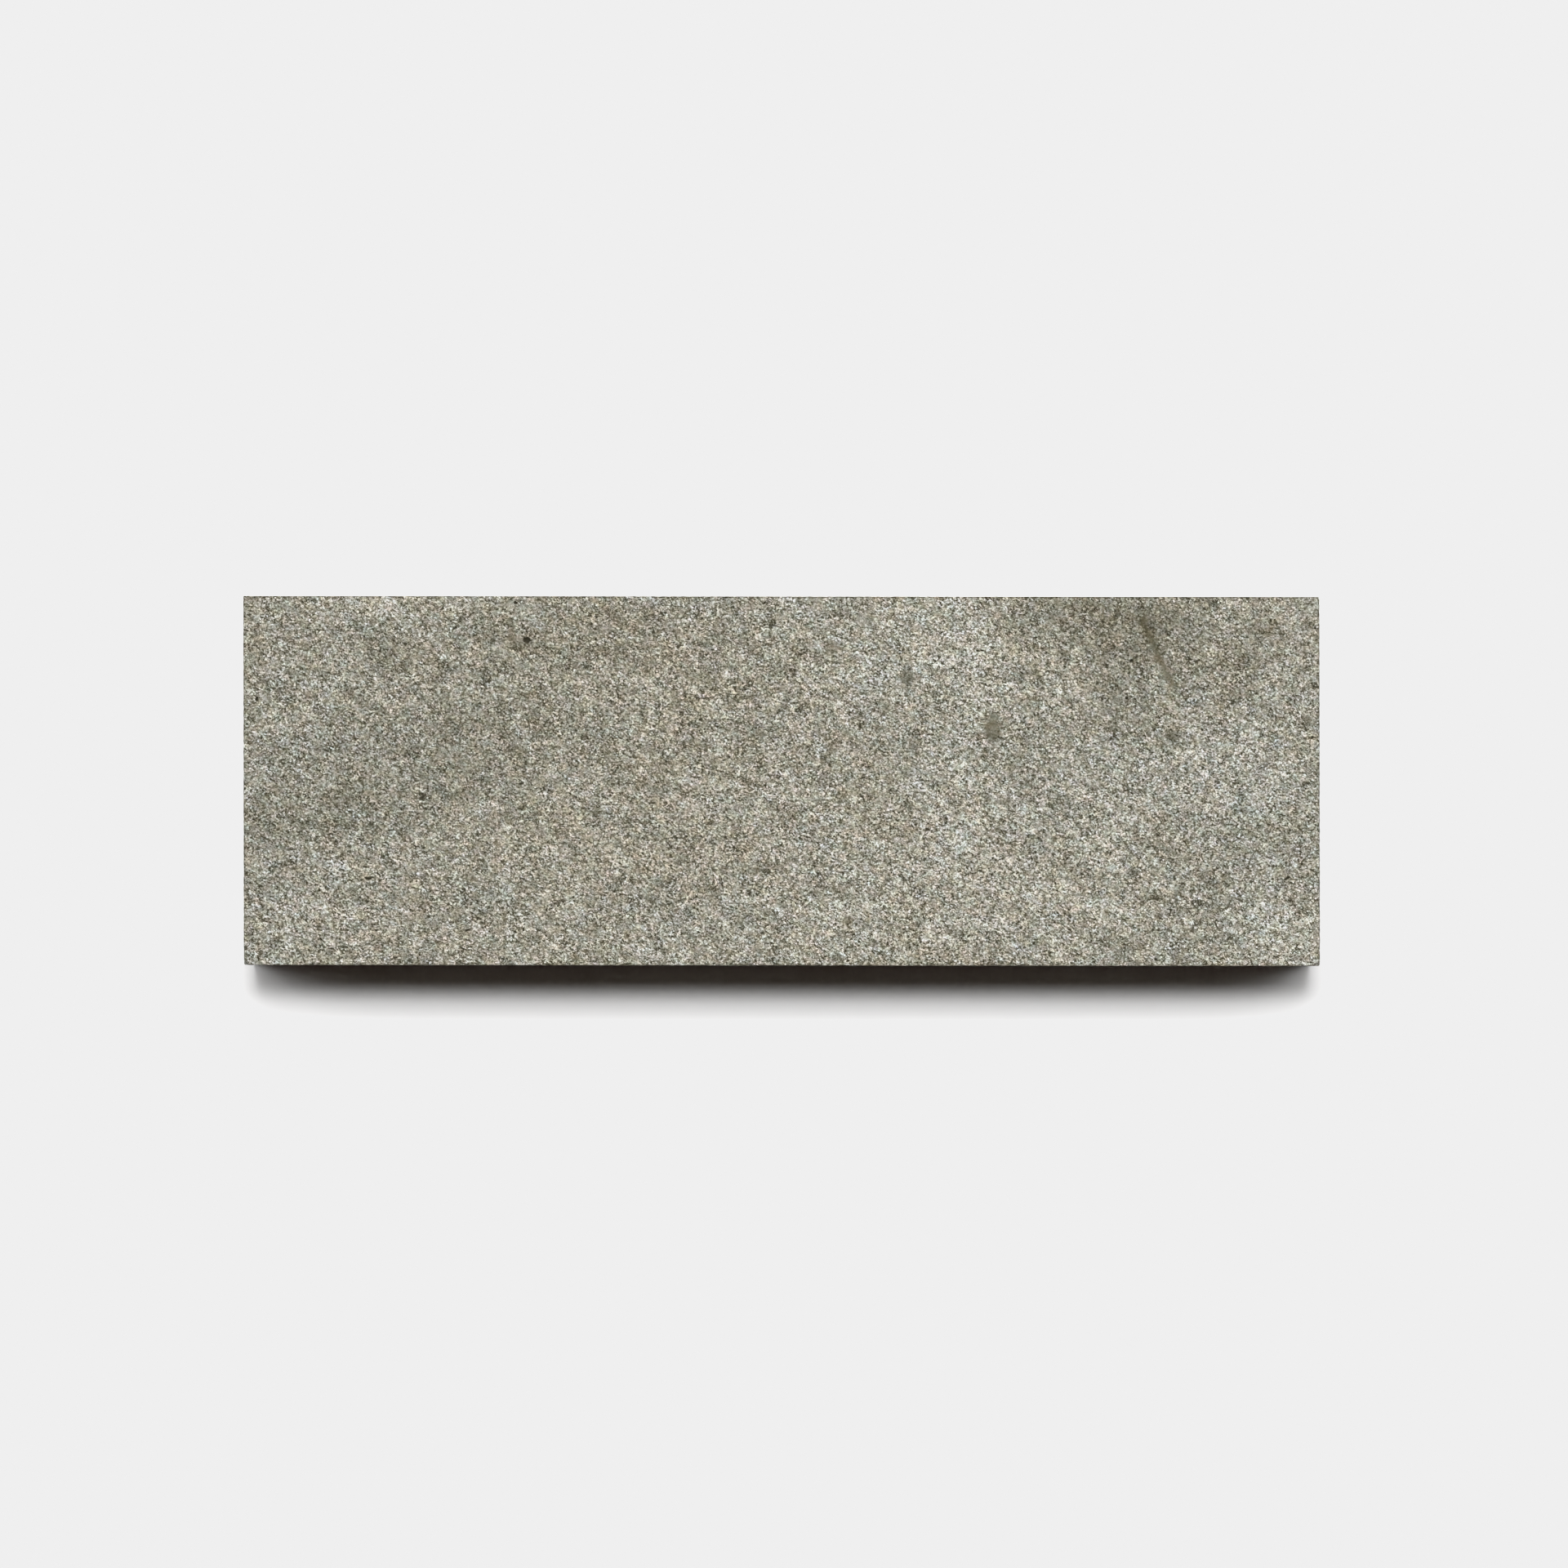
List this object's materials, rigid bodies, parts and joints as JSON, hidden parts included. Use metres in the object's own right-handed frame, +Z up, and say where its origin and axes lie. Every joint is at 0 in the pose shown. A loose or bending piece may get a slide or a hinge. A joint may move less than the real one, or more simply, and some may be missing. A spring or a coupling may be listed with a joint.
{
  "type": "bench whetstone",
  "caption": "Rectangular slab of speckled grey-green natural stone with a flat working face, for sharpening carving and whittling tools.",
  "frame": {"origin": "on the resting face, under the middle of the slab", "axes": "+X along the slab's length, +Y across its width towards its back edge, +Z up out of the working face"},
  "size_m": [0.175, 0.06, 0.02],
  "materials": {
    "natural_stone": "lapped matt, fine speckled grain"
  },
  "bodies": {
    "root": {"stone": "natural_stone"}
  },
  "joints": []
}
